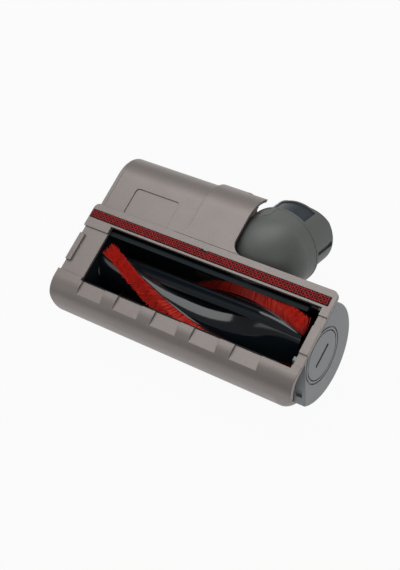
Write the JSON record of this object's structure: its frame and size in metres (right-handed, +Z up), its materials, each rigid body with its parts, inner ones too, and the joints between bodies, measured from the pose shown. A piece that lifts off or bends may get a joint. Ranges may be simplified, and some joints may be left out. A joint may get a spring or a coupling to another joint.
{
  "type": "vacuum turbo brush",
  "caption": "Motorised brush head for a hand-held vacuum: twisted brush bar in an open-mouthed shell, motor housing behind, removable end cap and swivelling connecting tube.",
  "frame": {"origin": "centre of the bounding box on the floor, with the head lying sole up on its back and on the end of its tube", "axes": "+X along the brush towards the end cap, +Y from the brush to the tube, +Z up, out of the sole"},
  "size_m": [0.148, 0.1026, 0.0535],
  "materials": {
    "shell_plastic": "warm metallic grey, satin",
    "cap_plastic": "bluish metallic grey, satin",
    "neck_plastic": "darker grey, satin",
    "liner_plastic": "near-black, moulded",
    "contact_plastic": "dark navy, satin",
    "bar_plastic": "glossy black",
    "bristles": "dense bright red nylon bristles",
    "felt": "dark red and black woven pile",
    "seal_rubber": "black, matt",
    "belt_rubber": "black, matt",
    "pulley_plastic": "natural white",
    "board": "green laminate",
    "steel": "plated",
    "motor_metal": null,
    "brass": "plain"
  },
  "bodies": {
    "head": {"front_shell": "shell_plastic", "sole_plate": "shell_plastic", "felt_strip": "felt", "chamber_liner": "liner_plastic", "neck_socket": "liner_plastic", "neck_seal": "seal_rubber", "motor_housing": "shell_plastic", "hood": "shell_plastic", "belt_cover": "shell_plastic", "cover_screws": "steel", "motor_bulkhead": "liner_plastic", "motor_screws": "steel", "motor_can": "motor_metal", "motor_end_bell": "liner_plastic", "motor_cushion": "seal_rubber", "circuit_board": "board", "drive_belt": "belt_rubber", "pulley_bearing": "steel"},
    "end_cap": {"end_cap": "cap_plastic", "bearing_holder": "liner_plastic", "end_bearing": "brass"},
    "coin_lock": {"coin_lock": "cap_plastic", "lock_clip": "steel"},
    "brush": {"brush_body": "bar_plastic", "drive_dog": "liner_plastic", "end_spindle": "steel", "bristle_strip_a": "bristles", "bristle_strip_b": "bristles"},
    "driven_pulley": {"driven_pulley": "pulley_plastic"},
    "rotor": {"rotor_shaft": "steel", "drive_pinion": "steel"},
    "neck": {"neck_elbow": "neck_plastic", "neck_tube": "neck_plastic", "neck_clip": "steel", "contact_block": "contact_plastic"}
  },
  "joints": [
    {"name": "neck_swivel", "type": "hinge", "parent": "head", "child": "neck", "pos_m": [0.02105, 0.01992, 0.03012], "axis": [-1, 0, 0], "range_deg": [-22, 41]},
    {"name": "cap_pull", "type": "slide", "parent": "head", "child": "end_cap", "axis": [1, 0, 0], "range_m": [0, 0.14], "deforming": ["bristle_strip_a", "bristle_strip_b"]},
    {"name": "lock_turn", "type": "hinge", "parent": "end_cap", "child": "coin_lock", "pos_m": [0.07205, -0.02177, 0.0295], "axis": [-1, 0, 0], "range_deg": [0, 90]},
    {"name": "brush_spin", "type": "hinge", "parent": "end_cap", "child": "brush", "pos_m": [0.06805, -0.02177, 0.0295], "axis": [1, 0, 0], "continuous": true},
    {"name": "pulley_spin", "type": "hinge", "parent": "head", "child": "driven_pulley", "pos_m": [-0.06605, -0.02177, 0.0295], "axis": [1, 0, 0], "continuous": true},
    {"name": "rotor_spin", "type": "hinge", "parent": "head", "child": "rotor", "pos_m": [-0.04785, 0.02516, 0.03424], "axis": [1, 0, 0], "continuous": true}
  ],
  "couplings": [
    {"joint": "pulley_spin", "follows": "brush_spin", "ratio": 1},
    {"joint": "rotor_spin", "follows": "brush_spin", "ratio": 2}
  ]
}
